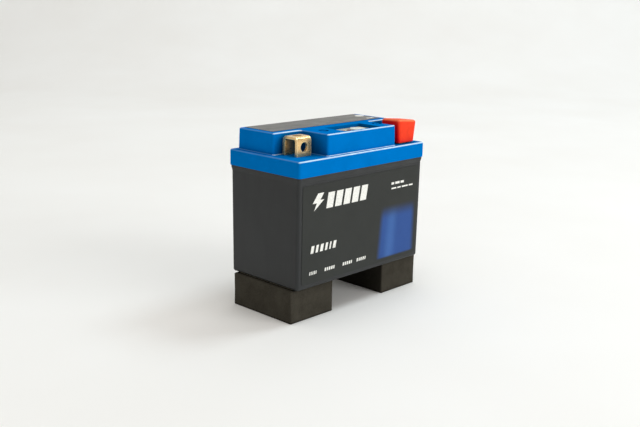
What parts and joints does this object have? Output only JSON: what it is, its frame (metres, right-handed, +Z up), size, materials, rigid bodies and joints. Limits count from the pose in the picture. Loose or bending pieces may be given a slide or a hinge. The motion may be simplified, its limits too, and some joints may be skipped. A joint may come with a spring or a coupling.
{
  "type": "motorcycle battery",
  "caption": "Compact motorcycle starter battery with bracket terminals, a lift-off terminal boot, a charge indicator with a test button, and foam spacers under the case.",
  "frame": {"origin": "under the middle of the battery, on the surface that the foam spacers stand on", "axes": "+X along the long side towards the positive terminal, -Y towards the front with the terminals, +Z up"},
  "size_m": [0.1094, 0.057, 0.1068],
  "materials": {
    "case_plastic": "fine matt grain, dark grey ABS",
    "lid_plastic": "satin blue ABS",
    "adhesive": "cured bead",
    "dark_film": "satin printed film",
    "pale_film": "satin printed film",
    "terminal_brass": "stamped sheet, lightly polished",
    "potting": "cast resin",
    "red_boot": "soft satin PVC",
    "white_plastic": "satin",
    "black_plastic": "matt",
    "red_lens": "tinted, unlit",
    "amber_lens": "tinted, unlit",
    "green_lens": "tinted, unlit",
    "circuit_board": "solder mask on glass laminate",
    "screw_steel": "zinc plated",
    "cable_sheath": "flat ribbon",
    "copper": "plain copper strip",
    "pad_foam": "soft closed-cell foam",
    "spacer_foam": "firm closed-cell foam, cut faces",
    "tape": "double-sided tape",
    "pouch_laminate": "laminated aluminium foil",
    "nickel_tab": "nickel-plated copper leaf",
    "aluminium_tab": "aluminium leaf"
  },
  "bodies": {
    "battery": {"back_pad": "pad_foam", "balance_controllers": "black_plastic", "balance_resistors": "black_plastic", "balancer_board": "circuit_board", "base_pad": "pad_foam", "board_screws": "screw_steel", "busbar_rivets": "terminal_brass", "cable_connectors": "white_plastic", "case": "case_plastic", "cell_1_negative_tab": "nickel_tab", "cell_1_positive_tab": "aluminium_tab", "cell_1_pouch": "pouch_laminate", "cell_2_negative_tab": "nickel_tab", "cell_2_positive_tab": "aluminium_tab", "cell_2_pouch": "pouch_laminate", "cell_3_negative_tab": "nickel_tab", "cell_3_positive_tab": "aluminium_tab", "cell_3_pouch": "pouch_laminate", "cell_4_negative_tab": "nickel_tab", "cell_4_positive_tab": "aluminium_tab", "cell_4_pouch": "pouch_laminate", "cell_separators": "white_plastic", "front_label": "dark_film", "front_pad": "pad_foam", "full_charge_lens": "green_lens", "half_charge_lens": "amber_lens", "indicator_board": "circuit_board", "indicator_cable": "cable_sheath", "indicator_label": "pale_film", "indicator_leds": "white_plastic", "indicator_screws": "screw_steel", "left_end_pad": "pad_foam", "left_spacer": "spacer_foam", "left_spacer_tape": "tape", "lid": "lid_plastic", "lid_seal": "adhesive", "low_charge_lens": "red_lens", "negative_busbar": "copper", "negative_terminal": "terminal_brass", "negative_terminal_seal": "potting", "positive_busbar": "copper", "positive_terminal": "terminal_brass", "positive_terminal_seal": "potting", "right_end_pad": "pad_foam", "right_spacer": "spacer_foam", "right_spacer_tape": "tape", "series_link_1": "copper", "series_link_2": "copper", "series_link_3": "copper", "switch_body": "black_plastic", "tab_holder": "black_plastic", "top_label": "dark_film"},
    "terminal_cap": {"positive_terminal_cap": "red_boot"},
    "button": {"test_button": "white_plastic", "switch_plunger": "black_plastic"}
  },
  "joints": [
    {"name": "cap_lift", "type": "slide", "parent": "battery", "child": "terminal_cap", "axis": [0, 0, 1], "range_m": [0, 0.025]},
    {"name": "button_press", "type": "slide", "parent": "battery", "child": "button", "axis": [0, 0, -1], "range_m": [0, 0.0005], "stiffness_N_per_m": 2000}
  ]
}
